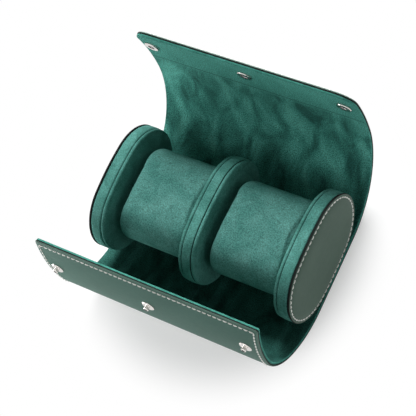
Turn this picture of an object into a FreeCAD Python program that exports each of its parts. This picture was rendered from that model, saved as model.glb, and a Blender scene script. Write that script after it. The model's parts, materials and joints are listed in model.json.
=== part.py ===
import FreeCAD, Part
import math
import os

# A roll-up watch case for two watches, lying open on its flat base, in millimetres.
# X runs along the roll, -Y is the front flap with the studs, +Y is the lid, and Z is up.
# The origin is on the table at the middle of the base.

# Wrap: one sheet of leather lined with suede, creased into panels
wrap_width = 150.0
leather_thickness = 1.4
lining_thickness = 1.6
base_depth = 48.0
panel_slit = 0.3
lid_lower_length = 39.0
lid_lower_turn = 43.5
lid_middle_length = 42.0
lid_middle_turn = 38.5
lid_upper_length = 49.5
lid_upper_turn = 18.5
lid_corner_radius = 13.0
flap_lower_length = 34.5
flap_lower_turn = 39.0
flap_middle_length = 38.5
flap_middle_turn = 54.5
flap_upper_length = 42.0
flap_upper_turn = 17.0
flap_corner_radius = 1.5

# Dividers: padded ovals that stand on the lining and carry the pillows between them
divider_length = 82.0
divider_height = 57.6
divider_side_bow = 0.9
divider_thickness = 11.0
insert_side_margin = 3.7
insert_offset = 2.3
panel_leather_thickness = 1.4
panel_edge_round = 0.9
band_thickness = 1.2
welt_width = 2.2
welt_depth = 2.8
welt_inset = 0.3
welt_round = 1.0
face_recess = 0.4

# Pillows: soft oval drums that a strap is buckled round
pillow_inset = 10.0
pillow_side_gap = 0.3
pillow_cover_thickness = 1.2
pillow_crown = 0.7
pillow_shoulder = 3.2
pillow_end_draw = 3.0
pillow_shoulder_stations = (0, 0.08, 0.3, 0.6, 1)
pillow_crown_stations = (0.25, 0.5, 0.75)

# Snaps: three press studs on the flap and three sockets inside the lid
snap_side_margin = 8.6
stud_edge_margin = 24.3
stud_flange_radius = 4.1
stud_flange_thickness = 0.7
stud_flange_chamfer = 0.35
stud_neck_radius = 1.4
stud_head_radius = 1.75
stud_neck_height = 1.0
stud_head_height = 1.4
stud_head_round = 0.5
stud_bore_radius = 1.05
rivet_shank_radius = 1.4
rivet_flange_radius = 3.8
rivet_flange_thickness = 0.5
socket_edge_margin = 19.0
socket_radius = 4.8
socket_thickness = 1.3
socket_chamfer = 0.4
socket_seat_depth = 0.2
socket_hole_radius = 2.3
spring_groove_depth = 0.4
spring_wire_radius = 0.2
cap_radius = 5.0
cap_height = 1.1
cap_rim_height = 0.6
cap_crown_radius = 3.0
cap_crown_drop = 0.15
cap_tube_radius = 2.6
cap_tube_wall = 0.4
hole_clearance = 0.05

wrap_thickness = leather_thickness + lining_thickness
insert_width = wrap_width - 2 * insert_side_margin
snap_spacing = wrap_width / 2 - snap_side_margin
oval_centre_height = wrap_thickness + divider_height / 2
oval_end_radius = divider_height / 2 - divider_side_bow
oval_end_centre = divider_length / 2 - oval_end_radius
oval_side_centre = (oval_end_centre ** 2 - divider_side_bow ** 2) / (2 * divider_side_bow)
oval_side_radius = oval_side_centre + divider_height / 2
along_x = FreeCAD.Vector(1, 0, 0)
up = FreeCAD.Vector(0, 0, 1)


def save(name, shape):
    """Write one named piece."""
    shape.exportStep(os.path.join("parts", name + ".step"))


# Wrap panels

def panel_run(lengths, turns, side):
    """Curve of each panel from the base outward. Each crease lies on the lining's inner face."""
    panels = []
    heading = 0.0
    crease_y = base_depth / 2
    crease_z = wrap_thickness
    for length, turn in zip(lengths, turns):
        radius = length / math.radians(turn)
        inner_radius = radius - wrap_thickness
        centre_y = crease_y - inner_radius * math.sin(heading)
        centre_z = crease_z + inner_radius * math.cos(heading)
        end = heading + math.radians(turn)
        panel = {"side": side, "radius": radius, "y": centre_y, "z": centre_z, "start": heading, "end": end}
        panels.append(panel)
        crease_y = centre_y + inner_radius * math.sin(end)
        crease_z = centre_z - inner_radius * math.cos(end)
        heading = end
    return panels


def panel_point(panel, heading, depth, x):
    """Point of a panel at a heading round its curve and a depth under its outer face."""
    reach = panel["radius"] - depth
    y = panel["side"] * (panel["y"] + reach * math.sin(heading))
    return FreeCAD.Vector(x, y, panel["z"] - reach * math.cos(heading))


def panel_outward(panel, heading):
    """Direction out of the leather face of a panel."""
    return FreeCAD.Vector(0, panel["side"] * math.sin(heading), -math.cos(heading))


def panel_layer(panel, outer_depth, inner_depth, is_free_end):
    """One layer of a curved panel, cut short by half a slit at each crease."""
    slit_turn = panel_slit / 2 / panel["radius"]
    start = panel["start"] + slit_turn
    end = panel["end"] if is_free_end else panel["end"] - slit_turn
    corners = []
    for depth, headings in ((outer_depth, (start, end)), (inner_depth, (end, start))):
        points = [panel_point(panel, heading, depth, -wrap_width / 2) for heading in headings]
        middle = panel_point(panel, (start + end) / 2, depth, -wrap_width / 2)
        corners.append((points[0], middle, points[1]))
    outer, inner = corners
    edges = [
        Part.Arc(*outer).toShape(),
        Part.LineSegment(outer[2], inner[0]).toShape(),
        Part.Arc(*inner).toShape(),
        Part.LineSegment(inner[2], outer[0]).toShape(),
    ]
    return Part.Face(Part.Wire(edges)).extrude(along_x * wrap_width)


def corner_cutters(panel, corner_radius):
    """Two prisms that round the free corners of a panel."""
    normal = panel_outward(panel, panel["end"])
    forward = FreeCAD.Vector(0, panel["side"] * math.cos(panel["end"]), math.sin(panel["end"]))
    margin = wrap_thickness
    cutters = []
    for hand in (-1, 1):
        across = along_x * hand
        edge = panel_point(panel, panel["end"], -margin, 0) + across * (wrap_width / 2)
        pivot = edge - across * corner_radius - forward * corner_radius
        arc_start = pivot + forward * corner_radius
        arc_end = pivot + across * corner_radius
        diagonal = (across + forward) * (corner_radius / math.sqrt(2))
        outline = [
            Part.Arc(arc_start, pivot + diagonal, arc_end).toShape(),
            Part.LineSegment(arc_end, arc_end + across * margin).toShape(),
            Part.LineSegment(arc_end + across * margin, edge + across * margin + forward * margin).toShape(),
            Part.LineSegment(edge + across * margin + forward * margin, arc_start + forward * margin).toShape(),
            Part.LineSegment(arc_start + forward * margin, arc_start).toShape(),
        ]
        depth = wrap_thickness + 2 * margin
        cutters.append(Part.Face(Part.Wire(outline)).extrude(normal * -depth))
    return cutters


def snap_places(panel, edge_margin, depth, direction):
    """Placements of the three snaps of a panel, with local Z along the given direction."""
    heading = panel["end"] - edge_margin / panel["radius"]
    normal = panel_outward(panel, heading) * direction
    turn = FreeCAD.Rotation(up, normal)
    places = []
    for step in (-1, 0, 1):
        point = panel_point(panel, heading, depth, step * snap_spacing)
        places.append(FreeCAD.Placement(point, turn))
    return places


def placed(shape, place):
    """Copy of a shape set at a placement."""
    copy = shape.copy()
    copy.Placement = place
    return copy


def revolved(profile):
    """Solid turned round local Z from a closed list of radius and height pairs."""
    points = [FreeCAD.Vector(radius, 0, height) for radius, height in profile]
    outline = Part.makePolygon(points + points[:1])
    return Part.Face(outline).revolve(FreeCAD.Vector(0, 0, 0), up, 360)


def base_layer(bottom, top):
    """Flat layer of the wrap under the dividers."""
    depth = base_depth - panel_slit
    corner = FreeCAD.Vector(-wrap_width / 2, -depth / 2, bottom)
    return Part.makeBox(wrap_width, depth, top - bottom, corner)


lid_panels = panel_run(
    (lid_lower_length, lid_middle_length, lid_upper_length),
    (lid_lower_turn, lid_middle_turn, lid_upper_turn), 1)
flap_panels = panel_run(
    (flap_lower_length, flap_middle_length, flap_upper_length),
    (flap_lower_turn, flap_middle_turn, flap_upper_turn), -1)

socket_places = snap_places(lid_panels[-1], socket_edge_margin, wrap_thickness - socket_seat_depth, -1)
stud_places = snap_places(flap_panels[-1], stud_edge_margin, 0, 1)

os.makedirs("parts", exist_ok=True)
save("base_leather", base_layer(0, leather_thickness))
save("base_lining", base_layer(leather_thickness, wrap_thickness))

# Holes for the snaps, and a flat seat pressed into the lining under each socket and rivet
tube_hole = Part.makeCylinder(cap_tube_radius + hole_clearance, 3 * wrap_thickness,
                              FreeCAD.Vector(0, 0, -2 * wrap_thickness))
shank_hole = Part.makeCylinder(rivet_shank_radius + hole_clearance, 3 * wrap_thickness,
                               FreeCAD.Vector(0, 0, -2 * wrap_thickness))
rivet_seat = Part.makeCylinder(rivet_flange_radius + hole_clearance, rivet_flange_thickness + wrap_thickness,
                               FreeCAD.Vector(0, 0, -2 * wrap_thickness))
socket_seat = Part.makeCylinder(socket_radius + hole_clearance, socket_thickness)
lid_holes = [placed(tube_hole, place) for place in socket_places]
lid_seats = [placed(socket_seat, place) for place in socket_places]
flap_holes = [placed(shank_hole, place) for place in stud_places]
flap_seats = [placed(rivet_seat, place) for place in stud_places]

runs = {
    "lid": (lid_panels, lid_corner_radius, lid_holes, lid_holes + lid_seats),
    "flap": (flap_panels, flap_corner_radius, flap_holes, flap_holes + flap_seats),
}
for run_name, (panels, corner_radius, leather_cuts, lining_cuts) in runs.items():
    for level, panel in zip(("lower", "middle", "upper"), panels):
        is_free_end = level == "upper"
        leather = panel_layer(panel, 0, leather_thickness, is_free_end)
        lining = panel_layer(panel, leather_thickness, wrap_thickness, is_free_end)
        if is_free_end:
            corners = corner_cutters(panel, corner_radius)
            leather = leather.cut(corners + leather_cuts)
            lining = lining.cut(corners + lining_cuts)
        save(run_name + "_" + level + "_leather", leather)
        save(run_name + "_" + level + "_lining", lining)


# Dividers

def oval_wire(x, inset):
    """Four-arc outline of a divider in the plane at x, drawn in by inset."""
    end_radius = oval_end_radius - inset
    side_radius = oval_side_radius - inset
    slant = math.hypot(oval_end_centre, oval_side_centre)
    join_y = oval_end_centre + end_radius * oval_end_centre / slant
    join_z = end_radius * oval_side_centre / slant
    tip_y = oval_end_centre + end_radius
    crown_z = side_radius - oval_side_centre

    def at(y, z):
        return FreeCAD.Vector(x, y, oval_centre_height + z)

    edges = [
        Part.Arc(at(-join_y, join_z), at(0, crown_z), at(join_y, join_z)).toShape(),
        Part.Arc(at(join_y, join_z), at(tip_y, 0), at(join_y, -join_z)).toShape(),
        Part.Arc(at(join_y, -join_z), at(0, -crown_z), at(-join_y, -join_z)).toShape(),
        Part.Arc(at(-join_y, -join_z), at(-tip_y, 0), at(-join_y, join_z)).toShape(),
    ]
    return Part.Wire(edges)


def oval_plate(x_start, x_end, inset):
    """Flat oval between two planes."""
    low = min(x_start, x_end)
    return Part.Face(oval_wire(low, inset)).extrude(along_x * abs(x_end - x_start))


def oval_ring(x_start, x_end, outer_inset, inner_inset):
    """Oval hoop between two planes."""
    return oval_plate(x_start, x_end, outer_inset).cut(oval_plate(x_start, x_end, inner_inset))


def edges_in_plane(shape, x, longest_inset):
    """Edges of the outer rim that lie in the plane at x."""
    reach = divider_length / 2 - longest_inset
    rim = []
    for edge in shape.Edges:
        box = edge.BoundBox
        lies_flat = abs(box.XMin - x) < 1e-4 and abs(box.XMax - x) < 1e-4
        middle = edge.valueAt((edge.FirstParameter + edge.LastParameter) / 2)
        from_centre = math.hypot(middle.y, middle.z - oval_centre_height)
        is_outer = max(abs(box.YMin), abs(box.YMax)) > reach or from_centre > divider_height / 2 - longest_inset
        if lies_flat and is_outer:
            rim.append(edge)
    return rim


def welt(x_outer, x_inner):
    """Rolled suede edge round the inner face of a divider."""
    ring = oval_ring(x_outer, x_inner, welt_inset, welt_inset + welt_depth)
    reach = welt_inset + welt_depth / 2
    rim = edges_in_plane(ring, x_outer, reach) + edges_in_plane(ring, x_inner, reach)
    return ring.makeFillet(welt_round, rim)


face_inset = welt_inset + welt_depth
for hand_name, hand in (("left", -1), ("right", 1)):
    outer_x = insert_offset + hand * insert_width / 2
    panel_x = outer_x - hand * panel_leather_thickness
    inner_x = outer_x - hand * divider_thickness
    welt_x = inner_x + hand * welt_width
    face_x = inner_x + hand * face_recess
    leather_panel = oval_plate(outer_x, panel_x, 0)
    rim = edges_in_plane(leather_panel, outer_x, divider_side_bow)
    save(hand_name + "_divider_panel", leather_panel.makeFillet(panel_edge_round, rim))
    save(hand_name + "_divider_band", oval_ring(panel_x, welt_x, 0, band_thickness))
    save(hand_name + "_divider_core", oval_plate(panel_x, welt_x, band_thickness))
    save(hand_name + "_divider_welt", welt(welt_x, inner_x))
    save(hand_name + "_divider_face", oval_plate(welt_x, face_x, face_inset))

band_half = divider_thickness / 2 - welt_width
middle_welts = []
middle_faces = []
for hand in (-1, 1):
    welt_x = insert_offset + hand * band_half
    outside_x = insert_offset + hand * divider_thickness / 2
    middle_welts.append(welt(welt_x, outside_x))
    middle_faces.append(oval_plate(welt_x, outside_x - hand * face_recess, face_inset))
save("middle_divider_band", oval_ring(insert_offset - band_half, insert_offset + band_half, 0, band_thickness))
save("middle_divider_core", oval_plate(insert_offset - band_half, insert_offset + band_half, band_thickness))
save("middle_divider_welts", Part.makeCompound(middle_welts))
save("middle_divider_faces", Part.makeCompound(middle_faces))


# Pillows

def pillow_form(x_start, x_end, shrink):
    """Oval drum whose ends draw in over a round shoulder, with a slight crown along its length."""
    first = x_start + shrink
    length = x_end - x_start - 2 * shrink
    shoulder_steps = [pillow_shoulder * share for share in pillow_shoulder_stations]
    straight = length - 2 * pillow_shoulder
    crown_steps = [pillow_shoulder + straight * share for share in pillow_crown_stations]
    far_steps = [length - step for step in reversed(shoulder_steps)]
    sections = []
    for step in shoulder_steps + crown_steps + far_steps:
        from_end = min(step, length - step, pillow_shoulder) / pillow_shoulder
        end_draw = pillow_end_draw * (1 - math.sqrt(1 - (1 - from_end) ** 2))
        crown_draw = pillow_crown * (2 * step / length - 1) ** 2
        sections.append(oval_wire(first + step, pillow_inset + shrink + end_draw + crown_draw))
    return Part.makeLoft(sections, True, True)


bay_width = (insert_width - 3 * divider_thickness) / 2
for hand_name, hand in (("left", -1), ("right", 1)):
    bay_middle = insert_offset + hand * (divider_thickness + bay_width) / 2
    pillow_half = bay_width / 2 - pillow_side_gap
    outside = pillow_form(bay_middle - pillow_half, bay_middle + pillow_half, 0)
    foam = pillow_form(bay_middle - pillow_half, bay_middle + pillow_half, pillow_cover_thickness)
    save(hand_name + "_pillow_cover", outside.cut(foam))
    save(hand_name + "_pillow_foam", foam)

# Snaps: each is turned round its own axis, with height 0 on the face it sits on
neck_top = stud_flange_thickness + stud_neck_height
head_top = neck_top + stud_head_height
stud = revolved([
    (0, 0),
    (stud_flange_radius, 0),
    (stud_flange_radius, stud_flange_thickness - stud_flange_chamfer),
    (stud_flange_radius - stud_flange_chamfer, stud_flange_thickness),
    (stud_neck_radius, stud_flange_thickness),
    (stud_neck_radius, neck_top),
    (stud_head_radius, neck_top + stud_head_round),
    (stud_head_radius, head_top - stud_head_round),
    (stud_head_radius - stud_head_round, head_top),
    (stud_bore_radius, head_top),
    (stud_bore_radius, stud_flange_thickness),
    (0, stud_flange_thickness),
])
rivet = revolved([
    (0, -wrap_thickness),
    (rivet_flange_radius, -wrap_thickness),
    (rivet_flange_radius, rivet_flange_thickness - wrap_thickness),
    (rivet_shank_radius, rivet_flange_thickness - wrap_thickness),
    (rivet_shank_radius, 0),
    (0, 0),
])
groove_radius = socket_hole_radius + spring_groove_depth
groove_low = socket_thickness / 2 - spring_wire_radius - hole_clearance
groove_high = socket_thickness / 2 + spring_wire_radius + hole_clearance
socket = revolved([
    (socket_hole_radius, 0),
    (socket_radius, 0),
    (socket_radius, socket_thickness - socket_chamfer),
    (socket_radius - socket_chamfer, socket_thickness),
    (socket_hole_radius, socket_thickness),
    (socket_hole_radius, groove_high),
    (groove_radius, groove_high),
    (groove_radius, groove_low),
    (socket_hole_radius, groove_low),
])
spring_radius = groove_radius - spring_wire_radius - hole_clearance
spring = Part.makeTorus(spring_radius, spring_wire_radius, FreeCAD.Vector(0, 0, socket_thickness / 2), up)
cap_seat = socket_seat_depth - wrap_thickness
cap_bottom = cap_seat - cap_height
cap = revolved([
    (0, cap_bottom),
    (cap_crown_radius, cap_bottom + cap_crown_drop),
    (cap_radius, cap_seat - cap_rim_height),
    (cap_radius, cap_seat),
    (cap_tube_radius, cap_seat),
    (cap_tube_radius, 0),
    (cap_tube_radius - cap_tube_wall, 0),
    (cap_tube_radius - cap_tube_wall, cap_seat),
    (0, cap_seat),
])
for place_name, stud_place, socket_place in zip(("left", "middle", "right"), stud_places, socket_places):
    save(place_name + "_stud", placed(stud, stud_place))
    save(place_name + "_socket", placed(socket, socket_place))
save("stud_rivets", Part.makeCompound([placed(rivet, place) for place in stud_places]))
save("socket_springs", Part.makeCompound([placed(spring, place) for place in socket_places]))
save("snap_caps", Part.makeCompound([placed(cap, place) for place in socket_places]))
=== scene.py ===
import json
import math

import bmesh
import bpy
from mathutils import Matrix, Vector, noise


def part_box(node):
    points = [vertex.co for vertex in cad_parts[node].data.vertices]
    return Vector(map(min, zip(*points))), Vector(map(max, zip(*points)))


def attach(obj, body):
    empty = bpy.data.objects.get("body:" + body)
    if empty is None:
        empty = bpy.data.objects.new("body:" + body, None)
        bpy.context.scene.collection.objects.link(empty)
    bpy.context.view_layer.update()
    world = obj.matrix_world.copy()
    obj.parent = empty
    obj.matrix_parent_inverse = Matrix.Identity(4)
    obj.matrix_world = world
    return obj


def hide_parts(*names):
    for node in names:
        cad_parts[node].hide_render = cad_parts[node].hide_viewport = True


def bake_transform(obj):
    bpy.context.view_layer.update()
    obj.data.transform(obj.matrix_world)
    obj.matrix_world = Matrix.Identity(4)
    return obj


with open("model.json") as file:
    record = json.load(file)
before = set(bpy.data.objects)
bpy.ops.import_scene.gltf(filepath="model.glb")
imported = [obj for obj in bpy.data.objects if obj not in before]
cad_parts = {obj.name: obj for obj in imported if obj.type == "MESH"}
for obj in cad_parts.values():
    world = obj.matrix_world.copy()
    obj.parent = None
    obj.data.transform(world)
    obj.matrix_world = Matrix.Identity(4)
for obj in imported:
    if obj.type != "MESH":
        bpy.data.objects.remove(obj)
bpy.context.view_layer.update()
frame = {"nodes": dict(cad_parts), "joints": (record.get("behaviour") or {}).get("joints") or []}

# Wrap leather. One sheet of smooth grey-green leather makes the flat base, the lid behind it with round
# corners and the flap in front with sharp ones. Its raw edge is bevelled and painted black. It bends
# along six creases, so it is made in six lengths that each bend over one crease.
base_leather_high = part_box("base_leather")[1]
wrap_half_width = base_leather_high.x
leather_thickness = base_leather_high.z
wrap_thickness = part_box("base_lining")[1].z
crease_places = {joint["name"]: joint["pos_m"] for joint in frame["joints"] if joint["type"] == "hinge"}
base_half = crease_places["lid_fold"][1]
lid_upper_length = 0.0495
lid_upper_turn = 18.5
lid_corner_radius = 0.013
flap_upper_length = 0.042
flap_upper_turn = 17.0
flap_corner_radius = 0.0015
crease_reach = 0.006
row_step = 0.0009
wrap_columns = 120
corner_rows = 12
wrap_sharp_angle = math.radians(50)
leather_bevel = 0.0010
lid_skew = 0.0016
lid_skew_power = 4
right_edge_draw = 0.0013
flap_splay = 0.0042
flap_splay_power = 3
flap_across_power = 1.5


def bent_panels(side, crease_names, upper_length, upper_turn):
    """Arcs of the wrap on one side of the base, from the base outwards, found from the crease places."""
    creases = [crease_places[name][1:] for name in crease_names]
    turns = []
    heading = 0.0
    for (y, z), (next_y, next_z) in zip(creases, creases[1:]):
        slope = math.atan2(next_z - z, side * (next_y - y))
        turn = 2 * (slope - heading)
        inner_radius = math.hypot(next_y - y, next_z - z) / 2 / math.sin(turn / 2)
        turns.append((turn, inner_radius))
        heading += turn
    last_turn = math.radians(upper_turn)
    turns.append((last_turn, upper_length / last_turn - wrap_thickness))
    panels = []
    heading = 0.0
    run = base_half
    for (y, z), (turn, inner_radius) in zip(creases, turns):
        radius = inner_radius + wrap_thickness
        panels.append({
            "from": run, "to": run + radius * turn, "heading": heading, "radius": radius,
            "y": side * y - inner_radius * math.sin(heading), "z": z + inner_radius * math.cos(heading),
        })
        run += radius * turn
        heading += turn
    return panels


lid_panels = bent_panels(1, ("lid_fold", "lid_curl", "lid_tip"), lid_upper_length, lid_upper_turn)
flap_panels = bent_panels(-1, ("flap_fold", "flap_curl", "flap_tip"), flap_upper_length, flap_upper_turn)


def wrap_heading(run):
    """Side of the base, panel and heading at a distance along the wrap from the middle of the base."""
    side = 1 if run > 0 else -1
    panels = lid_panels if side > 0 else flap_panels
    panel = next((p for p in panels if abs(run) <= p["to"]), panels[-1])
    return side, panel, panel["heading"] + (abs(run) - panel["from"]) / panel["radius"]


def limp_shift(x, run):
    """How far the unrolled wrap has strayed sideways: the lid leans over at its end, the right corner of
    the flap splays out, and between them the right edge draws in a little."""
    panels = lid_panels if run > 0 else flap_panels
    share = max(0.0, (abs(run) - base_half) / (panels[-1]["to"] - base_half))
    from_left = max(0.0, 0.5 + 0.5 * x / wrap_half_width)
    draw = right_edge_draw * (1 - share ** 2) * max(0.0, x / wrap_half_width)
    if run > 0:
        return lid_skew * share ** lid_skew_power - draw
    return flap_splay * share ** flap_splay_power * from_left ** flap_across_power - draw


def wrap_point(x, run, depth):
    """Place on the wrap: across it, along its outer face, and at a depth under that face."""
    if abs(run) <= base_half:
        return Vector((x + limp_shift(x, run), run, depth))
    side, panel, heading = wrap_heading(run)
    radius = panel["radius"] - depth
    y = side * (panel["y"] + radius * math.sin(heading))
    return Vector((x + limp_shift(x, run), y, panel["z"] - radius * math.cos(heading)))


def wrap_outward(run):
    """Direction out of the leather at a distance along the wrap."""
    if abs(run) <= base_half:
        return Vector((0, 0, -1))
    side, panel, heading = wrap_heading(run)
    return Vector((0, side * math.sin(heading), -math.cos(heading)))


def panel_middle(panel):
    return (panel["from"] + panel["to"]) / 2


wrap_lengths = [
    {"name": "flap_tip", "bodies": ("flap_middle", "flap_upper"), "crease": -flap_panels[2]["from"],
     "cut": -panel_middle(flap_panels[1]), "end": -flap_panels[2]["to"], "corner": flap_corner_radius},
    {"name": "flap_bend", "bodies": ("flap_lower", "flap_middle"), "crease": -flap_panels[1]["from"],
     "cut": -panel_middle(flap_panels[0]), "end": -panel_middle(flap_panels[1]), "corner": None},
    {"name": "flap_root", "bodies": ("base", "flap_lower"), "crease": -flap_panels[0]["from"],
     "cut": 0.0, "end": -panel_middle(flap_panels[0]), "corner": None},
    {"name": "lid_root", "bodies": ("base", "lid_lower"), "crease": lid_panels[0]["from"],
     "cut": 0.0, "end": panel_middle(lid_panels[0]), "corner": None},
    {"name": "lid_bend", "bodies": ("lid_lower", "lid_middle"), "crease": lid_panels[1]["from"],
     "cut": panel_middle(lid_panels[0]), "end": panel_middle(lid_panels[1]), "corner": None},
    {"name": "lid_tip", "bodies": ("lid_middle", "lid_upper"), "crease": lid_panels[2]["from"],
     "cut": panel_middle(lid_panels[1]), "end": lid_panels[2]["to"], "corner": lid_corner_radius},
]
wrap_nodes = {
    "flap_tip": ["flap_upper"], "flap_bend": ["flap_middle"], "flap_root": ["flap_lower"],
    "lid_root": ["base", "lid_lower"], "lid_bend": ["lid_middle"], "lid_tip": ["lid_upper"],
}


def outline_rows(length, inset):
    """Rows of a length of the wrap, drawn in by inset: place along it, half width, and rim direction."""
    way = 1 if length["end"] > length["cut"] else -1
    corner = length["corner"]
    straight_end = length["end"] - way * corner if corner else length["end"]
    steps = max(2, round(abs(straight_end - length["cut"]) / row_step))
    rows = []
    for step in range(steps + 1):
        run = length["cut"] + (straight_end - length["cut"]) * step / steps
        rows.append((run, wrap_half_width - inset, Vector((1, 0))))
    if corner:
        for step in range(1, corner_rows + 1):
            angle = math.pi / 2 * step / corner_rows
            run = straight_end + way * (corner - inset) * math.sin(angle)
            half = wrap_half_width - corner + (corner - inset) * math.cos(angle)
            rows.append((run, half, Vector((math.cos(angle), way * math.sin(angle)))))
    return rows


def new_piece(name, content):
    """Object in the scene, at the origin, for a mesh, a lamp or a camera."""
    piece = bpy.data.objects.new(name, content)
    bpy.context.scene.collection.objects.link(piece)
    return piece


def wrap_layer(name, length, rim, surface_lift):
    """One layer of a length of the wrap. The rim is a list of inset, depth and finish from its outer
    face round to its inner face, and surface_lift gives how far the inner face stands up at a place."""
    inset = rim[0][0]
    rows = outline_rows(length, inset)
    way = 1 if length["end"] > length["cut"] else -1
    shares = [2 * step / wrap_columns - 1 for step in range(wrap_columns + 1)]
    mesh = bpy.data.meshes.new(name)
    work = bmesh.new()
    sheet_uv = work.loops.layers.uv.new("sheet")
    flat_place = {}

    def add(x, run, depth):
        vertex = work.verts.new(wrap_point(x, run, depth))
        flat_place[vertex] = (x, run)
        return vertex

    def face(corners, finish):
        made = work.faces.new(corners)
        made.material_index = finish
        made.smooth = True

    grids = []
    for is_inner, depth in ((False, rim[0][1]), (True, rim[-1][1])):
        grid = []
        for run, half, rim_way in rows:
            lifts = [surface_lift(share * half, run) if is_inner else 0.0 for share in shares]
            grid.append([add(share * half, run, depth + lift) for share, lift in zip(shares, lifts)])
        for row, next_row in zip(grid, grid[1:]):
            for column in range(wrap_columns):
                corners = (row[column], row[column + 1], next_row[column + 1], next_row[column])
                face(corners, rim[-1][2] if is_inner else rim[0][2])
        grids.append(grid)
    outer, inner = grids

    def rim_chain(hand):
        column = 0 if hand < 0 else wrap_columns
        chain = []
        for index, (run, half, rim_way) in enumerate(rows):
            chain.append((index, column, Vector((hand * rim_way.x, rim_way.y))))
        return chain

    if length["corner"]:
        last = len(rows) - 1
        front = [(last, column, Vector((0, way))) for column in range(1, wrap_columns)]
        chains = [rim_chain(-1) + front + rim_chain(1)[::-1]]
    else:
        chains = [rim_chain(-1), rim_chain(1)]
    end_loops = {}
    for chain in chains:
        strips = [[outer[row][column] for row, column, out in chain]]
        for rim_inset, depth, finish in rim[1:-1]:
            strip = []
            for row, column, out in chain:
                x, run = flat_place[outer[row][column]]
                reach = inset - rim_inset
                strip.append(add(x + out.x * reach, run + out.y * reach, depth))
            strips.append(strip)
        strips.append([inner[row][column] for row, column, out in chain])
        for (strip, next_strip), (rim_inset, depth, finish) in zip(zip(strips, strips[1:]), rim[1:]):
            for corners in zip(strip, strip[1:], next_strip[1:], next_strip):
                face(corners, finish)
        for place in (0, -1):
            row, column, out = chain[place]
            end_loops[(row, column)] = [strip[place] for strip in strips[1:-1]]
    cut_rows = [0] if length["corner"] else [0, len(rows) - 1]
    for row in cut_rows:
        loop = outer[row] + end_loops[(row, wrap_columns)]
        loop += inner[row][::-1] + end_loops[(row, 0)][::-1]
        face(loop, rim[0][2])
    bmesh.ops.recalc_face_normals(work, faces=work.faces)
    for made in work.faces:
        for loop in made.loops:
            loop[sheet_uv].uv = flat_place[loop.vert]
    work.to_mesh(mesh)
    work.free()
    mesh.set_sharp_from_angle(angle=wrap_sharp_angle)
    return new_piece(name, mesh)


def bend_over_crease(piece):
    """Bake a length of the wrap's placement into its mesh."""
    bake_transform(piece)


class Wiring:
    """Short ways to add the nodes of one tree and to join them."""

    def __init__(self, tree):
        self.tree = tree
        self.link = tree.links.new

    def add(self, kind, **settings):
        """Node with its inputs and options set."""
        node = self.tree.nodes.new(kind)
        for key, value in settings.items():
            if key in node.inputs:
                node.inputs[key].default_value = value
            else:
                setattr(node, key, value)
        return node

    def noise_at(self, place, **settings):
        """Noise value at a place."""
        node = self.add("ShaderNodeTexNoise", **settings)
        self.link(place, node.inputs["Vector"])
        return node.outputs["Fac"]

    def remap(self, value, reach, result, kind="LINEAR"):
        """Value taken from one range to another and held inside it."""
        node = self.add("ShaderNodeMapRange", interpolation_type=kind)
        for key, number in zip(("From Min", "From Max", "To Min", "To Max"), (*reach, *result)):
            node.inputs[key].default_value = number
        self.link(value, node.inputs["Value"])
        return node.outputs["Result"]

    def tint(self, value, low, high, start=0.0, stop=1.0):
        """Colour ramp from a low colour to a high one."""
        node = self.add("ShaderNodeValToRGB")
        for index, position, colour in ((0, start, low), (1, stop, high)):
            node.color_ramp.elements[index].position = position
            node.color_ramp.elements[index].color = (*colour, 1)
        self.link(value, node.inputs["Fac"])
        return node

    def bump(self, height, strength, distance):
        """Bump node over a height."""
        node = self.add("ShaderNodeBump", Strength=strength, Distance=distance)
        self.link(height, node.inputs["Height"])
        return node


def new_finish(name, source, roughness=None, specular=None):
    """Material, its surface shader, the wiring of its tree, and the place that its textures are laid on."""
    finish = bpy.data.materials.new(name)
    finish.use_nodes = True
    shader = finish.node_tree.nodes["Principled BSDF"]
    if roughness is not None:
        shader.inputs["Roughness"].default_value = roughness
    if specular is not None:
        shader.inputs["Specular IOR Level"].default_value = specular
    wiring = Wiring(finish.node_tree)
    return finish, shader, wiring, wiring.add("ShaderNodeTexCoord").outputs[source]


def smooth_leather(name, colour, light_colour, source):
    """Smooth finished leather: a faint cloud in the colour, fine pores and a soft gloss."""
    finish, shader, wiring, place = new_finish(name, source, specular=0.15)
    cloud = wiring.noise_at(place, Scale=38.0, Detail=3.0, Roughness=0.55)
    tint = wiring.tint(cloud, colour, light_colour, 0.3, 0.72)
    wiring.link(tint.outputs["Color"], shader.inputs["Base Color"])
    pores = wiring.add("ShaderNodeTexVoronoi", Scale=1500.0, feature="DISTANCE_TO_EDGE")
    wiring.link(place, pores.inputs["Vector"])
    grain = wiring.noise_at(place, Scale=420.0, Detail=4.0)
    pore_bump = wiring.bump(pores.outputs["Distance"], 0.10, 0.00012)
    grain_bump = wiring.bump(grain, 0.12, 0.0004)
    wiring.link(pore_bump.outputs["Normal"], grain_bump.inputs["Normal"])
    wiring.link(grain_bump.outputs["Normal"], shader.inputs["Normal"])
    wiring.link(wiring.remap(grain, (0.0, 1.0), (0.46, 0.58)), shader.inputs["Roughness"])
    return finish


def mottled(name, low, high, texture, bump, roughness, specular, ramp=(0.0, 1.0)):
    """Plain coat in two tones of one noise, which may also raise it by a bump of strength and distance."""
    finish, shader, wiring, place = new_finish(name, "Object", roughness, specular)
    mottle = wiring.noise_at(place, **texture)
    wiring.link(wiring.tint(mottle, low, high, *ramp).outputs["Color"], shader.inputs["Base Color"])
    if bump:
        wiring.link(wiring.bump(mottle, *bump).outputs["Normal"], shader.inputs["Normal"])
    return finish


def no_lift(x, run):
    return 0.0


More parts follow.
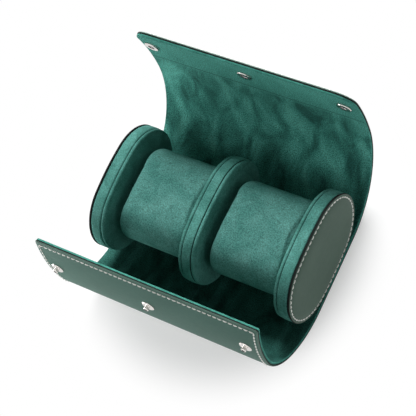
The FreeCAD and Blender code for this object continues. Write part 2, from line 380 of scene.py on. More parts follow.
wrap_leather = smooth_leather("wrap_leather", (0.036, 0.104, 0.079), (0.045, 0.121, 0.094), "UV")
# Painted highlight: the bevel between the leather's face and its black edge is a lighter copy of the leather.
bevel_painted_highlight = smooth_leather("bevel_painted_highlight", (0.085, 0.155, 0.126), (0.112, 0.190, 0.156), "UV")
black_edge = mottled("black_edge", (0.003, 0.004, 0.004), (0.009, 0.012, 0.011),
                     {"Scale": 260.0, "Detail": 3.0}, (0.2, 0.0003), roughness=0.65, specular=0.1)
leather_rim = [
    (leather_bevel, 0.0, 0),
    (0.55 * leather_bevel, 0.06 * leather_thickness, 2),
    (0.2 * leather_bevel, 0.20 * leather_thickness, 2),
    (0.0, 0.48 * leather_thickness, 2),
    (0.0, 0.52 * leather_thickness, 1),
    (0.0, 0.95 * leather_thickness, 1),
    (leather_bevel, leather_thickness, 1),
]
for length in wrap_lengths:
    piece = wrap_layer("leather_" + length["name"], length, leather_rim, no_lift)
    for finish in (wrap_leather, black_edge, bevel_painted_highlight):
        piece.data.materials.append(finish)
    bend_over_crease(piece)
    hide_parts(*[node + "_leather" for node in wrap_nodes[length["name"]]])

# Wrap lining. A sheet of brushed teal microsuede, glued over the whole inner face of the leather, cut
# flush with it and punched out under the sockets. Its nap lies in cloudy patches, smoother past a
# pressed fold near the lid's end, and it ripples a little where the lid was rolled. Painted shade
# darkens it from the lid's side of the base towards the flap, and a painted shade line runs along the fold.
lining_edge_round = 0.0006
lining_set_back = 0.0001
ripple_height = 0.00025
ripple_size = 0.03
ripple_stretch = 1.4
ripple_seed = 3.7
ripple_margin = 0.012
fold_from_end = 0.036
fold_half_width = 0.0011
fold_fade = 0.004
fold_line_painted_shade = 0.5
smooth_share = 0.75
even_nap = 0.54
flap_side_painted_shade = 0.4
hands = ("left", "middle", "right")
snap_step = 0.0005
bed_depth = 0.0014
bed_radius = 0.0033
bed_lip = 0.0046


def snap_place(name, panel, side, depth):
    """Where a snap sits on the last panel of a side: across the wrap and along it."""
    low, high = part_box(name)
    middle = (low + high) / 2
    steps = round((panel["to"] - panel["from"]) / snap_step)
    runs = [side * (panel["from"] + snap_step * step) for step in range(steps)]
    return middle.x, min(runs, key=lambda run: (wrap_point(0, run, depth) - middle).yz.length)


socket_places = {hand: snap_place(hand + "_socket", lid_panels[-1], 1, wrap_thickness) for hand in hands}


def lining_ripple(x, run):
    """Slow uneven swell of the lining, level at its edges and flat on the base, where the dividers sit.
    Under each socket it drops away, so that the stud's head has room when the lid is shut."""
    if abs(run) < base_half + crease_reach:
        return 0.0
    for socket_x, socket_run in socket_places.values():
        reach = math.hypot(x + limp_shift(x, run) - socket_x, run - socket_run)
        if reach < bed_lip:
            return -bed_depth * min(1.0, (bed_lip - reach) / (bed_lip - bed_radius))
    from_side = min(1.0, (wrap_half_width - abs(x)) / ripple_margin)
    end = lid_panels[-1]["to"] if run > 0 else flap_panels[-1]["to"]
    from_end = min(1.0, (end - abs(run)) / ripple_margin)
    swell = noise.noise(Vector((x / ripple_size, run / ripple_size * ripple_stretch, ripple_seed)))
    return -ripple_height * max(0.0, from_side * from_end) * (0.5 + 0.5 * swell)


def brushed_suede(name, tones, source, patch_size, speck_depth, patch_stretch=1.0, fold_run=None):
    """Microsuede in three tones: brushed patches of nap, a fine speckle of fibres and a soft sheen at a
    slant. A sheet with a fold gets painted shade that darkens it towards the flap's side, a painted
    shade line along the fold, and an even nap past the fold."""
    deep, mid, light = tones
    finish, shader, wiring, place = new_finish(name, source, roughness=0.9, specular=0.12)
    link = wiring.link
    lay = wiring.add("ShaderNodeMapping", Scale=(1 / patch_size, patch_stretch / patch_size, 1 / patch_size))
    link(place, lay.inputs["Vector"])
    patches = wiring.noise_at(lay.outputs["Vector"], Scale=1.0, Detail=3.0, Roughness=0.55, Distortion=0.6)
    speck = wiring.noise_at(place, Scale=1300.0, Detail=2.0, Roughness=0.8)
    shades = [wiring.remap(speck, (0.32, 0.68), (1 - speck_depth, 1 + speck_depth))]
    if fold_run:
        split = wiring.add("ShaderNodeSeparateXYZ")
        link(place, split.inputs["Vector"])
        along = split.outputs["Y"]
        smoothed = wiring.add("ShaderNodeMix")
        past_fold = wiring.remap(along, (fold_run - fold_fade, fold_run), (0.0, smooth_share), "SMOOTHSTEP")
        link(past_fold, smoothed.inputs["Factor"])
        link(patches, smoothed.inputs["A"])
        smoothed.inputs["B"].default_value = even_nap
        patches = smoothed.outputs["Result"]
        # Painted shade: the lining darkens from the lid's side of the base towards the flap's side.
        shades.append(wiring.remap(along, (-base_half, base_half), (flap_side_painted_shade, 1.0), "SMOOTHSTEP"))
        # Painted shade: a dark line along the pressed fold near the lid's end.
        off_fold = wiring.add("ShaderNodeMath", operation="SUBTRACT")
        link(along, off_fold.inputs[0])
        off_fold.inputs[1].default_value = fold_run
        from_fold = wiring.add("ShaderNodeMath", operation="ABSOLUTE")
        link(off_fold.outputs[0], from_fold.inputs[0])
        fold_distance = from_fold.outputs[0]
        shades.append(wiring.remap(fold_distance, (0.0, fold_half_width), (fold_line_painted_shade, 1.0), "SMOOTHSTEP"))
    tint = wiring.tint(patches, deep, light, 0.34, 0.68)
    tint.color_ramp.elements.new(0.5).color = (*mid, 1)
    coat = tint.outputs["Color"]
    for shade in shades:
        shaded = wiring.add("ShaderNodeVectorMath", operation="MULTIPLY")
        link(coat, shaded.inputs[0])
        link(shade, shaded.inputs[1])
        coat = shaded.outputs["Vector"]
    link(coat, shader.inputs["Base Color"])
    link(wiring.bump(speck, 0.5, 0.0004).outputs["Normal"], shader.inputs["Normal"])
    shader.inputs["Sheen Weight"].default_value = 0.1
    shader.inputs["Sheen Roughness"].default_value = 0.45
    shader.inputs["Sheen Tint"].default_value = (0.30, 0.85, 0.72, 1)
    return finish


lining_tones = ((0.018, 0.100, 0.082), (0.050, 0.235, 0.192), (0.098, 0.380, 0.315))
lining_edge_tones = ((0.040, 0.190, 0.152), (0.055, 0.250, 0.200), (0.070, 0.300, 0.245))
teal_lining = brushed_suede("teal_lining", lining_tones, "UV", 0.015, 0.8, patch_stretch=0.5,
                            fold_run=lid_panels[-1]["to"] - fold_from_end)
teal_edge = brushed_suede("teal_edge", lining_edge_tones, "Object", 0.006, 0.3)
lining_depth = wrap_thickness - leather_thickness
lining_rim = [
    (lining_set_back + lining_edge_round, leather_thickness, 0),
    (lining_set_back, leather_thickness + 0.15 * lining_depth, 1),
    (lining_set_back, wrap_thickness - lining_edge_round, 1),
    (lining_set_back + 0.3 * lining_edge_round, wrap_thickness - 0.3 * lining_edge_round, 1),
    (lining_set_back + lining_edge_round, wrap_thickness, 0),
]
for length in wrap_lengths:
    piece = wrap_layer("lining_" + length["name"], length, lining_rim, lining_ripple)
    piece.data.materials.append(teal_lining)
    piece.data.materials.append(teal_edge)
    bend_over_crease(piece)
    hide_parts(*[node + "_lining" for node in wrap_nodes[length["name"]]])

# Wrap stitching. One row of cream waxed thread runs along both sides and both ends of the leather, in
# stitches of even length that bow up a little and dip into the leather at their holes.
stitch_pitch = 0.0034
stitch_length = 0.0027
thread_radius = 0.0005
thread_rise = 0.0006
stitch_side_inset = 0.0025
stitch_end_inset = 0.0027
path_step = 0.0008


def stitch_tree():
    """Node tree that sets one bowed stitch at even steps along each path, square to the leather."""
    tree = bpy.data.node_groups.new("row_of_stitches", "GeometryNodeTree")
    tree.interface.new_socket("Geometry", in_out="INPUT", socket_type="NodeSocketGeometry")
    for name in ("Pitch", "Stitch Length", "Thread Radius", "Rise"):
        tree.interface.new_socket(name, in_out="INPUT", socket_type="NodeSocketFloat")
    tree.interface.new_socket("Thread", in_out="INPUT", socket_type="NodeSocketMaterial")
    tree.interface.new_socket("Geometry", in_out="OUTPUT", socket_type="NodeSocketGeometry")
    wiring = Wiring(tree)
    link = wiring.link
    add = wiring.add
    given = add("NodeGroupInput").outputs

    def math_node(operation, first, second=None):
        made = add("ShaderNodeMath", operation=operation)
        for socket, value in zip(made.inputs, (first, second)):
            if isinstance(value, (int, float)):
                socket.default_value = value
            elif value is not None:
                link(value, socket)
        return made.outputs[0]

    def steps_along():
        path_length = add("GeometryNodeSplineLength").outputs["Length"]
        return math_node("ROUND", math_node("DIVIDE", path_length, given["Pitch"]))

    path = add("GeometryNodeMeshToCurve")
    link(given["Geometry"], path.inputs["Mesh"])
    half_step = math_node("DIVIDE", 0.5, steps_along())
    trim = add("GeometryNodeTrimCurve")
    link(path.outputs["Curve"], trim.inputs["Curve"])
    link(half_step, trim.inputs["Start"])
    link(math_node("SUBTRACT", 1.0, half_step), trim.inputs["End"])
    steps = add("GeometryNodeResampleCurve")
    link(trim.outputs["Curve"], steps.inputs["Curve"])
    link(math_node("ADD", steps_along(), 1.0), steps.inputs["Count"])
    along = add("FunctionNodeAlignRotationToVector", axis="X")
    link(add("GeometryNodeInputTangent").outputs["Tangent"], along.inputs["Vector"])
    outward = add("GeometryNodeInputNamedAttribute", data_type="FLOAT_VECTOR", Name="outward")
    upright = add("FunctionNodeAlignRotationToVector", axis="Z", pivot_axis="X")
    link(along.outputs["Rotation"], upright.inputs["Rotation"])
    link(outward.outputs["Attribute"], upright.inputs["Vector"])
    ahead = math_node("MULTIPLY", given["Stitch Length"], 0.5)
    behind = math_node("MULTIPLY", given["Stitch Length"], -0.5)
    dip = math_node("MULTIPLY", given["Thread Radius"], -1.0)
    bow = add("GeometryNodeCurveQuadraticBezier", Resolution=6)
    for socket, run, height in (("Start", behind, dip), ("Middle", None, given["Rise"]), ("End", ahead, dip)):
        corner = add("ShaderNodeCombineXYZ")
        if run:
            link(run, corner.inputs["X"])
        link(height, corner.inputs["Z"])
        link(corner.outputs["Vector"], bow.inputs[socket])
    section = add("GeometryNodeCurvePrimitiveCircle", Resolution=6)
    link(given["Thread Radius"], section.inputs["Radius"])
    thread = add("GeometryNodeCurveToMesh")
    thread.inputs["Fill Caps"].default_value = True
    link(bow.outputs["Curve"], thread.inputs["Curve"])
    link(section.outputs["Curve"], thread.inputs["Profile Curve"])
    smooth = add("GeometryNodeSetShadeSmooth")
    link(thread.outputs["Mesh"], smooth.inputs["Geometry"])
    row = add("GeometryNodeInstanceOnPoints")
    link(steps.outputs["Curve"], row.inputs["Points"])
    link(smooth.outputs["Geometry"], row.inputs["Instance"])
    link(upright.outputs["Rotation"], row.inputs["Rotation"])
    real = add("GeometryNodeRealizeInstances")
    link(row.outputs["Instances"], real.inputs["Geometry"])
    coloured = add("GeometryNodeSetMaterial")
    link(real.outputs["Geometry"], coloured.inputs["Geometry"])
    link(given["Thread"], coloured.inputs["Material"])
    link(coloured.outputs["Geometry"], add("NodeGroupOutput").inputs["Geometry"])
    return tree


def sew(name, paths, tree, thread):
    """Stitches along paths, each a list of place and outward direction, as one plain mesh."""
    lines = bpy.data.meshes.new(name + "_path")
    points = [point for path in paths for point in path]
    edges = []
    first = 0
    for path in paths:
        edges += [(first + step, first + step + 1) for step in range(len(path) - 1)]
        first += len(path)
    lines.from_pydata([place for place, outward in points], edges, [])
    directions = lines.attributes.new("outward", "FLOAT_VECTOR", "POINT")
    directions.data.foreach_set("vector", [part for place, outward in points for part in outward])
    guide = new_piece(name + "_path", lines)
    sewing = guide.modifiers.new("sewing", "NODES")
    sewing.node_group = tree
    values = {"Pitch": stitch_pitch, "Stitch Length": stitch_length, "Thread Radius": thread_radius,
              "Rise": thread_rise, "Thread": thread}
    for item in tree.interface.items_tree:
        if item.in_out == "INPUT" and item.name in values:
            sewing[item.identifier] = values[item.name]
    sewn = bpy.data.meshes.new_from_object(guide.evaluated_get(bpy.context.evaluated_depsgraph_get()))
    bpy.data.objects.remove(guide)
    if "outward" in sewn.attributes:
        sewn.attributes.remove(sewn.attributes["outward"])
    return new_piece(name, sewn)


def stitch_paths(length):
    """Paths of the stitching on a length of the wrap, on its outer face, at even steps. A corner sharper
    than the stitching's inset is sewn as separate rows that meet there."""
    way = 1 if length["end"] > length["cut"] else -1
    cut = length["cut"]
    corner = length["corner"]
    side_x = wrap_half_width - stitch_side_inset
    stop = length["end"] - way * stitch_end_inset if corner else length["end"]
    turn = max(0.0, corner - stitch_end_inset) if corner else 0.0
    side_stop = stop - way * turn
    steps = max(2, round(abs(side_stop - cut) / path_step))
    right = [(side_x, cut + (side_stop - cut) * step / steps) for step in range(steps + 1)]
    paths = [right, [(-x, run) for x, run in right]]
    if corner:
        arc = [math.pi / 2 * step / corner_rows for step in range(1, corner_rows + 1)] if turn else []
        bend = [(side_x - turn + turn * math.cos(a), side_stop + way * turn * math.sin(a)) for a in arc]
        half = right + bend
        last_x = half[-1][0]
        steps = round(2 * last_x / path_step)
        across = [(last_x - 2 * last_x * step / steps, stop) for step in range(1, steps)]
        left = [(-x, run) for x, run in reversed(half)]
        if turn:
            paths = [half + across + left]
        else:
            paths = [half, half[-1:] + across + left[:1], left]
    return [[(wrap_point(x, run, 0.0), wrap_outward(run)) for x, run in path] for path in paths]


thread = mottled("cream_thread", (0.80, 0.80, 0.75), (0.95, 0.95, 0.91), {"Scale": 1800.0, "Detail": 2.0},
                 (0.4, 0.0002), roughness=0.6, specular=None, ramp=(0.3, 0.7))
row_of_stitches = stitch_tree()
for length in wrap_lengths:
    piece = sew("stitches_" + length["name"], stitch_paths(length), row_of_stitches, thread)
    bend_over_crease(piece)

# Dividers. Three padded ovals stand on the lining. A suede band goes round each rim, a rolled suede
# welt is sewn to the edge of the band, and a suede face closes the side towards a pillow.
band_low, band_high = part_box("left_divider_band")
oval_half_length = band_high.y
oval_half_height = (band_high.z - band_low.z) / 2
oval_middle = (band_high.z + band_low.z) / 2
oval_side_bow = 0.0009
oval_end_radius = oval_half_height - oval_side_bow
oval_end_centre = oval_half_length - oval_end_radius
oval_side_centre = (oval_end_centre ** 2 - oval_side_bow ** 2) / (2 * oval_side_bow)
oval_side_radius = oval_side_centre + oval_half_height
end_stations = 44
side_stations = 14
oval_sharp_angle = math.radians(60)
seam_depth = 0.0012
seam_half_width = 0.00028
welt_set_in = 0.0003
welt_foot_gap = 0.0006
welt_foot_rise = 0.0001
welt_tuck_angle = math.radians(20)
welt_tuck = 1.25
welt_seam_angle = math.radians(155)
band_crown = 0.00015
band_soft_depth = 0.0009
band_soft_width = 0.0010
band_shares = (0.02, 0.05, 0.10, 0.18, 0.3, 0.5, 0.7, 0.82, 0.90, 0.95, 0.98)
face_fill_insets = (0.024, 0.021, 0.017, 0.013, 0.009, 0.006)
back_fill_insets = (0.0009, 0.004, 0.012, 0.024)


def oval_stations():
    """Arc centre, arc radius and outward direction at even steps round a divider's four-arc rim."""
    slant = math.atan2(oval_side_centre, oval_end_centre)
    arcs = [
        (oval_end_centre, 0.0, oval_end_radius, -slant, slant, end_stations),
        (0.0, -oval_side_centre, oval_side_radius, slant, math.pi - slant, side_stations),
        (-oval_end_centre, 0.0, oval_end_radius, math.pi - slant, math.pi + slant, end_stations),
        (0.0, oval_side_centre, oval_side_radius, math.pi + slant, 2 * math.pi - slant, side_stations),
    ]
    stations = []
    for y, z, radius, start, stop, count in arcs:
        for step in range(count):
            angle = start + (stop - start) * step / count
            stations.append((y, z, radius, math.cos(angle), math.sin(angle)))
    return stations


rim_stations = oval_stations()


def oval_place(station, x, inset):
    """Place at a station of the oval, at x along the roll and drawn in by inset."""
    y, z, radius, way_y, way_z = station
    return Vector((x, y + (radius - inset) * way_y, oval_middle + z + (radius - inset) * way_z))


def oval_form(name, profile, finishes):
    """Closed form swept round the oval from a profile of x, inset and finish, capped at both ends."""
    mesh = bpy.data.meshes.new(name)
    work = bmesh.new()
    loops = []
    for x, inset, finish in profile:
        loops.append([work.verts.new(oval_place(station, x, inset)) for station in rim_stations])
    rings = []
    for loop, next_loop, (x, inset, finish) in zip(loops, loops[1:], profile[1:]):
        for index in range(len(rim_stations)):
            after = (index + 1) % len(rim_stations)
            rings.append(((loop[index], loop[after], next_loop[after], next_loop[index]), finish))
    for corners, finish in rings + [(loops[0][::-1], profile[0][2]), (loops[-1], profile[-1][2])]:
        face = work.faces.new(corners)
        face.material_index = finish
        face.smooth = True
    bmesh.ops.recalc_face_normals(work, faces=work.faces)
    work.to_mesh(mesh)
    work.free()
    for finish in finishes:
        mesh.materials.append(finish)
    mesh.set_sharp_from_angle(angle=oval_sharp_angle)
    return new_piece(name, mesh)


def arc_steps(count, start, stop):
    return [math.radians(start + (stop - start) * step / count) for step in range(count + 1)]


def welt_and_face(edge_x, seam_x, face_x):
    """Profile of a divider's pillow side, from the middle of its face over the welt into the seam."""
    out = 1 if edge_x > seam_x else -1
    welt_radius = abs(edge_x - seam_x) / 2
    welt_x = seam_x + out * welt_radius
    foot = welt_set_in + 2.0 * welt_radius
    profile = [(face_x, inset, 0) for inset in face_fill_insets]
    profile.append((face_x, foot + welt_foot_gap, 0))
    profile.append((face_x + out * welt_foot_rise, foot + welt_foot_rise, 0))
    for angle in arc_steps(10, 0, 165):
        x = welt_x + out * welt_radius * math.cos(angle)
        drop = (welt_tuck if angle < welt_tuck_angle else 1) - math.sin(angle)
        profile.append((x, welt_set_in + welt_radius * drop, 1 if angle > welt_seam_angle else 0))
    profile.append((seam_x, welt_set_in + seam_depth, 1))
    return profile


def band_rim(seam_x, far_x):
    """Profile of the band from one seam to the other, with soft edges and a slight crown."""
    way = 1 if far_x > seam_x else -1
    width = abs(far_x - seam_x)
    profile = []
    for share in band_shares:
        from_edge = min(share, 1 - share) * width
        soft = band_soft_depth * max(0.0, 1 - from_edge / band_soft_width) ** 2
        crown = band_crown * (2 * share - 1) ** 2
        profile.append((seam_x + way * share * width, soft + crown, 1 if from_edge < seam_half_width else 0))
    return profile


rim_tones = ((0.054, 0.195, 0.166), (0.076, 0.250, 0.214), (0.100, 0.300, 0.262))
seam_tones = ((0.008, 0.026, 0.022), (0.010, 0.032, 0.027), (0.012, 0.038, 0.032))
rim_suede = brushed_suede("rim_suede", rim_tones, "Object", 0.012, 0.4)
seam_shadow = brushed_suede("seam_shadow", seam_tones, "Object", 0.012, 0.3)
for hand, inner, outer in (("left", 1, 0), ("right", 0, 1)):
    welt_box, face_box, panel_box = [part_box(hand + "_divider_" + part) for part in ("welt", "face", "panel")]
    seam_x = welt_box[outer].x
    panel_x = panel_box[inner].x
    profile = welt_and_face(welt_box[inner].x, seam_x, face_box[inner].x) + band_rim(seam_x, panel_x)
    profile += [(panel_x, inset, 1) for inset in back_fill_insets]
    pad = oval_form(hand + "_divider_suede", profile, [rim_suede, seam_shadow])
    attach(pad, "base")
    nodes = [hand + "_divider_" + part for part in ("band", "core", "welt", "face")]
    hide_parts(*nodes)

middle_low, middle_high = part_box("middle_divider_welts")
middle_band_low, middle_band_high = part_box("middle_divider_band")
middle_face_low, middle_face_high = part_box("middle_divider_faces")
profile = welt_and_face(middle_low.x, middle_band_low.x, middle_face_low.x)
profile += band_rim(middle_band_low.x, middle_band_high.x)
profile += welt_and_face(middle_high.x, middle_band_high.x, middle_face_high.x)[::-1]
middle_pad = oval_form("middle_divider_suede", profile, [rim_suede, seam_shadow])
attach(middle_pad, "base")
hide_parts(*["middle_divider_" + part for part in ("band", "core", "welts", "faces")])

# End panels. The outer side of each end divider is an oval of the wrap's leather over thin padding,
# greyed in colour as a painted reflection of the floor. Its edge is painted black, and a ring of the
# same cream stitches holds it, pressed into a shallow groove.
ring_inset = 0.0021
ring_groove = 0.00025
groove_half_width = 0.0008
groove_steps = (-0.0007, -0.00035, 0.0, 0.00035, 0.0007)
panel_back_insets = (0.024, 0.012, 0.004, 0.0007)
panel_edge_shares = (0.2, 0.5)
panel_round_share = 0.4
black_edge_angle = math.radians(65)
panel_lip = 0.0001
panel_lip_insets = (0.0009, 0.0012)
panel_swell = 0.0007
panel_swell_start = 0.0007
panel_swell_reach = 0.0018
panel_swell_insets = (0.0038, 0.0045, 0.0055, 0.0065, 0.008, 0.010, 0.013, 0.017, 0.021, 0.024)
# Painted reflection: the wrap's leather, greyed to stand in for the floor mirrored in the panel.
panel_leather_painted_reflection = smooth_leather("panel_leather_painted_reflection", (0.055, 0.103, 0.076), (0.066, 0.119, 0.089), "Object")
for hand, out in (("left", -1), ("right", 1)):
    panel_low, panel_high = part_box(hand + "_divider_panel")
    outer_x = panel_low.x if out < 0 else panel_high.x
    back_x = panel_high.x if out < 0 else panel_low.x
    thickness = panel_high.x - panel_low.x
    round_off = panel_round_share * thickness
    profile = [(back_x, inset, 1) for inset in panel_back_insets]
    profile += [(back_x + out * share * thickness, 0.0, 1) for share in panel_edge_shares]
    for angle in arc_steps(5, 15, 90):
        x = outer_x - out * round_off * (1 - math.sin(angle))
        profile.append((x, round_off * (1 - math.cos(angle)), 1 if angle < black_edge_angle else 0))
    profile += [(outer_x + out * panel_lip, inset, 0) for inset in panel_lip_insets]
    for from_ring in groove_steps:
        dip = ring_groove * (1 - (from_ring / groove_half_width) ** 2)
        profile.append((outer_x + out * (panel_lip - dip), ring_inset + from_ring, 0))
    for inset in panel_swell_insets:
        from_ring = inset - ring_inset - panel_swell_start
        swell = panel_swell * (1 - math.exp(-from_ring / panel_swell_reach))
        profile.append((outer_x + out * swell, inset, 0))
    panel = oval_form(hand + "_end_panel", profile, [panel_leather_painted_reflection, black_edge])
    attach(panel, "base")
    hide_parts(hand + "_divider_panel")
    stitch_x = outer_x - out * 0.5 * ring_groove
    ring = [(oval_place(station, stitch_x, ring_inset), Vector((out, 0, 0))) for station in rim_stations]
    stitches = sew(hand + "_panel_stitches", [ring + ring[:1]], row_of_stitches, thread)
    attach(stitches, "base")

# Pillows. Each is an oval drum of foam in a sewn suede cover, slid between two dividers so that a
# buckled strap fits round it. The foam swells the cover a little, and its ends draw in at their seams.
pillow_end_gap = 0.0026
pillow_shoulder = 0.0045
pillow_end_draw = 0.0036
pillow_end_insets = (0.011, 0.008, 0.005, 0.002)
pillow_steps = 24
pillow_swell_cap = 0.0009
cover_slack = 0.6 * pillow_swell_cap
cloth_frames = 20
pillow_tones = ((0.060, 0.210, 0.182), (0.086, 0.260, 0.228), (0.112, 0.305, 0.270))
pillow_suede = brushed_suede("pillow_suede", pillow_tones, "Object", 0.016, 0.5)


def swell_with_foam(piece):
    """Press the cover out with the foam, and keep each point within the swell that the cover allows."""
    rest = [vertex.co.copy() for vertex in piece.data.vertices]
    cloth = piece.modifiers.new("cover", "CLOTH")
    cloth.settings.quality = 6
    cloth.settings.mass = 0.2
    cloth.settings.use_pressure = True
    cloth.settings.uniform_pressure_force = 4.0
    cloth.settings.tension_stiffness = 30
    cloth.settings.compression_stiffness = 30
    cloth.settings.bending_stiffness = 2.0
    cloth.settings.effector_weights.gravity = 0.0
    cloth.collision_settings.use_collision = False
    cloth.point_cache.frame_end = cloth_frames
    scene = bpy.context.scene
    for frame_number in range(1, cloth_frames + 1):
        scene.frame_set(frame_number)
    swollen = bpy.data.meshes.new_from_object(piece.evaluated_get(bpy.context.evaluated_depsgraph_get()))
    piece.modifiers.remove(cloth)
    for vertex, start, moved in zip(piece.data.vertices, rest, swollen.vertices):
        shift = moved.co - start
        if shift.length > pillow_swell_cap:
            shift.length = pillow_swell_cap
        vertex.co = start + shift
    bpy.data.meshes.remove(swollen)
    scene.frame_set(1)


for hand in ("left", "right"):
    cover_low, cover_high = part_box(hand + "_pillow_cover")
    pillow_inset = oval_half_height - (cover_high.z - cover_low.z) / 2
    start_x = cover_low.x + pillow_swell_cap * 0.5 + pillow_end_gap
    span = cover_high.x - cover_low.x - pillow_swell_cap - 2 * pillow_end_gap
    end_profile = [(start_x, pillow_inset + pillow_end_draw + more, 0) for more in pillow_end_insets]
    for angle in arc_steps(7, 0, 90):
        step = pillow_shoulder * (1 - math.cos(angle))
        draw = pillow_end_draw * (1 - math.sin(angle))
        end_profile.append((start_x + step, pillow_inset + draw + cover_slack, 0))
    straight = span - 2 * pillow_shoulder
    profile = list(end_profile)
    for step in range(1, pillow_steps):
        x = start_x + pillow_shoulder + straight * step / pillow_steps
        profile.append((x, pillow_inset + cover_slack, 0))
    profile += [(2 * start_x + span - x, inset, finish) for x, inset, finish in reversed(end_profile)]
    pillow = oval_form(hand + "_pillow", profile, [pillow_suede])
    swell_with_foam(pillow)
    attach(pillow, hand + "_pillow")
    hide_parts(hand + "_pillow_cover", hand + "_pillow_foam")

# Snaps. Three nickel studs are riveted through the flap and three nickel sockets through the lid. Each
# socket holds a ring of spring wire, and a dark plug sunk in the bore of each stud and socket is
# painted shade for the hollow inside it.
well_height = 0.0003
well_edge_depth = 0.0001
stud_well_radius = 0.00102
stud_well_sink = 0.0002
socket_well_radius = 0.0022
socket_well_sink = 0.00215


def plated_metal(name, colour, gloss):
    """Polished plate with faint wipe marks in its gloss."""
    finish, shader, wiring, place = new_finish(name, "Object")
    wipe = wiring.noise_at(place, Scale=700.0, Detail=3.0)
    wiring.link(wiring.remap(wipe, (0.0, 1.0), gloss), shader.inputs["Roughness"])
    shader.inputs["Base Color"].default_value = (*colour, 1)
    shader.inputs["Metallic"].default_value = 1.0
    return finish


nickel = plated_metal("polished_nickel", (0.66, 0.64, 0.61), (0.14, 0.3))
spring_wire = plated_metal("spring_wire", (0.55, 0.55, 0.56), (0.2, 0.35))
plated = {hand + kind: nickel for kind in ("_stud", "_socket") for hand in hands}
plated |= {"stud_rivets": nickel, "snap_caps": nickel, "socket_springs": spring_wire}
for name, finish in plated.items():
    node = frame["nodes"][name]
    node.data.materials.clear()
    node.data.materials.append(finish)
# Painted shade: near-black plugs stand in for the shade inside the snaps' bores.
bore_painted_shade = mottled("bore_painted_shade", (0.004, 0.003, 0.002), (0.018, 0.011, 0.007),
                    {"Scale": 900.0, "Detail": 2.0}, None, roughness=0.8, specular=0.05)


def bore_shade_plugs(name, snaps, radius, sink, body):
    """Dark round plugs inside the bores of three snaps, each sunk under the snap's highest edge: painted shade
    for the hollow bores.
    """
    work = bmesh.new()
    for snap, axis in snaps:
        places = [vertex.co for vertex in frame["nodes"][snap].data.vertices]
        top_level = max(place.dot(axis) for place in places)
        edge = [place for place in places if place.dot(axis) > top_level - well_edge_depth]
        low = Vector(min(place[i] for place in edge) for i in range(3))
        high = Vector(max(place[i] for place in edge) for i in range(3))
        middle = (low + high) / 2
        middle += axis * (top_level - sink - well_height / 2 - middle.dot(axis))
        turn = axis.to_track_quat("Z", "Y").to_matrix().to_4x4()
        bmesh.ops.create_cone(work, cap_ends=True, segments=32, radius1=radius, radius2=radius,
                              depth=well_height, matrix=Matrix.Translation(middle) @ turn)
    mesh = bpy.data.meshes.new(name)
    work.to_mesh(mesh)
    work.free()
    mesh.materials.append(bore_painted_shade)
    shade_plugs = new_piece(name, mesh)
    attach(shade_plugs, body)


studs = []
sockets = []
for hand in hands:
    stud_run = snap_place(hand + "_stud", flap_panels[-1], -1, 0.0)[1]
    studs.append((hand + "_stud", wrap_outward(stud_run)))
    sockets.append((hand + "_socket", -wrap_outward(socket_places[hand][1])))
bore_shade_plugs("stud_bore_painted_shade", studs, stud_well_radius, stud_well_sink, "flap_upper")
bore_shade_plugs("socket_bore_painted_shade", sockets, socket_well_radius, socket_well_sink, "lid_upper")

# Studio. The case lies on a pale floor in a white room. A large soft lamp stands high behind it and a
# little to the left, a weaker one in front, and small ones low on both sides. The camera is high on the
# right, turned on its axis as in the photograph.
floor_half = 3.0
floor_drop = 0.0002
floor_grey = 0.8
shadow_grey = 0.64
shadow_glow = 0.40
shadow_middle = (0.006, -0.006, 0)
shadow_squeeze = (1.05, 1, 1)
shadow_reach = (0.080, 0.120)
room_light = 0.08


def seen_ray(wiring):
    """1 for rays from the camera and for those mirrored or passed on to it, otherwise 0."""
    path = wiring.add("ShaderNodeLightPath")
    seen = path.outputs["Is Camera Ray"]
    for kind in ("Is Glossy Ray", "Is Transmission Ray"):
        either = wiring.add("ShaderNodeMath", operation="MAXIMUM")
        wiring.link(seen, either.inputs[0])
        wiring.link(path.outputs[kind], either.inputs[1])
        seen = either.outputs[0]
    return seen


floor_mesh = bpy.data.meshes.new("floor")
corners = [(x * floor_half, y * floor_half, 0) for x, y in ((-1, -1), (1, -1), (1, 1), (-1, 1))]
floor_mesh.from_pydata(corners, [], [(0, 1, 2, 3)])
floor = new_piece("floor", floor_mesh)
floor.location.z = -floor_drop
floor_finish = bpy.data.materials.new("pale_floor")
floor_finish.use_nodes = True
floor_finish.node_tree.nodes.clear()
wiring = Wiring(floor_finish.node_tree)
plain = wiring.add("ShaderNodeBsdfDiffuse", Color=(floor_grey, floor_grey, floor_grey, 1))
shadowed = wiring.add("ShaderNodeBsdfDiffuse", Color=(shadow_grey, shadow_grey, shadow_grey, 1))
glow = wiring.add("ShaderNodeEmission", Strength=shadow_glow)
near_floor = wiring.add("ShaderNodeAddShader")
wiring.link(shadowed.outputs[0], near_floor.inputs[0])
wiring.link(glow.outputs[0], near_floor.inputs[1])
far_floor = wiring.add("ShaderNodeEmission")
centred = wiring.add("ShaderNodeMapping", Location=shadow_middle, Scale=shadow_squeeze)
wiring.link(wiring.add("ShaderNodeTexCoord").outputs["Object"], centred.inputs["Vector"])
from_case = wiring.add("ShaderNodeVectorMath", operation="LENGTH")
wiring.link(centred.outputs["Vector"], from_case.inputs[0])
fade = wiring.remap(from_case.outputs["Value"], shadow_reach, (0.0, 1.0), "SMOOTHSTEP")
seen_floor = wiring.add("ShaderNodeMixShader")
floor_mix = wiring.add("ShaderNodeMixShader")
for mix, share, first, second in (
    (seen_floor, fade, near_floor, far_floor), (floor_mix, seen_ray(wiring), plain, seen_floor),
):
    wiring.link(share, mix.inputs["Fac"])
    wiring.link(first.outputs[0], mix.inputs[1])
    wiring.link(second.outputs[0], mix.inputs[2])
wiring.link(floor_mix.outputs[0], wiring.add("ShaderNodeOutputMaterial").inputs["Surface"])
floor_mesh.materials.append(floor_finish)

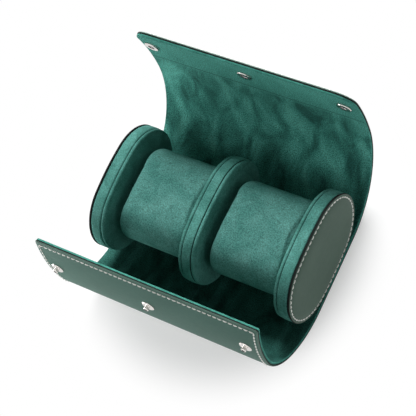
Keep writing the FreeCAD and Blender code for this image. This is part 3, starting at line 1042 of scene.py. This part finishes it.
world = bpy.data.worlds.new("white_room")
bpy.context.scene.world = world
world.use_nodes = True
sky = world.node_tree.nodes["Background"]
sky.inputs["Color"].default_value = (1, 1, 1, 1)
wiring = Wiring(world.node_tree)
wiring.link(wiring.remap(seen_ray(wiring), (0.0, 1.0), (room_light, 1.0)), sky.inputs["Strength"])


def soft_box(name, place, aim, size, power):
    """Square lamp at a place, turned to an aim point."""
    lamp = bpy.data.lights.new(name, "AREA")
    lamp.shape = "SQUARE"
    lamp.size = size
    lamp.energy = power
    stand = new_piece(name, lamp)
    stand.location = place
    stand.rotation_euler = (Vector(aim) - Vector(place)).to_track_quat("-Z", "Y").to_euler()
    stand.visible_camera = False


soft_box("key", (-0.5, 1.8, 1.45), (0.0, 0.0, 0.03), 1.2, 84.0)
soft_box("front_fill", (-0.1, -1.5, 1.7), (0.0, 0.0, 0.05), 1.2, 16.0)
soft_box("left_fill", (-0.20, -0.16, 0.025), (-0.07, -0.065, 0.035), 0.08, 0.3)
soft_box("right_fill", (2.0, -0.4, 0.24), (0.0, 0.0, 0.04), 0.6, 5.0)

view_azimuth = math.radians(67.165)
view_elevation = math.radians(60.822)
view_roll = math.radians(-43.870)
view_distance = 0.86365
view_aim = Vector((-0.00973, 0.00504, 0.030))
view_lens = 122.03
back = Vector((
    math.sin(view_azimuth) * math.cos(view_elevation),
    -math.cos(view_azimuth) * math.cos(view_elevation),
    math.sin(view_elevation),
))
level = Vector((math.cos(view_azimuth), math.sin(view_azimuth), 0))
rise = back.cross(level)
right = math.cos(view_roll) * level + math.sin(view_roll) * rise
top = back.cross(right)
lens = bpy.data.cameras.new("camera")
lens.lens = view_lens
lens.sensor_width = 36.0
lens.clip_start = 0.01
lens.clip_end = 20.0
camera = new_piece("camera", lens)
turn = Matrix((right, top, back)).transposed()
camera.matrix_world = Matrix.Translation(view_aim + back * view_distance) @ turn.to_4x4()
bpy.context.scene.camera = camera
bpy.context.scene.view_settings.view_transform = "Standard"

bpy.context.view_layer.update()
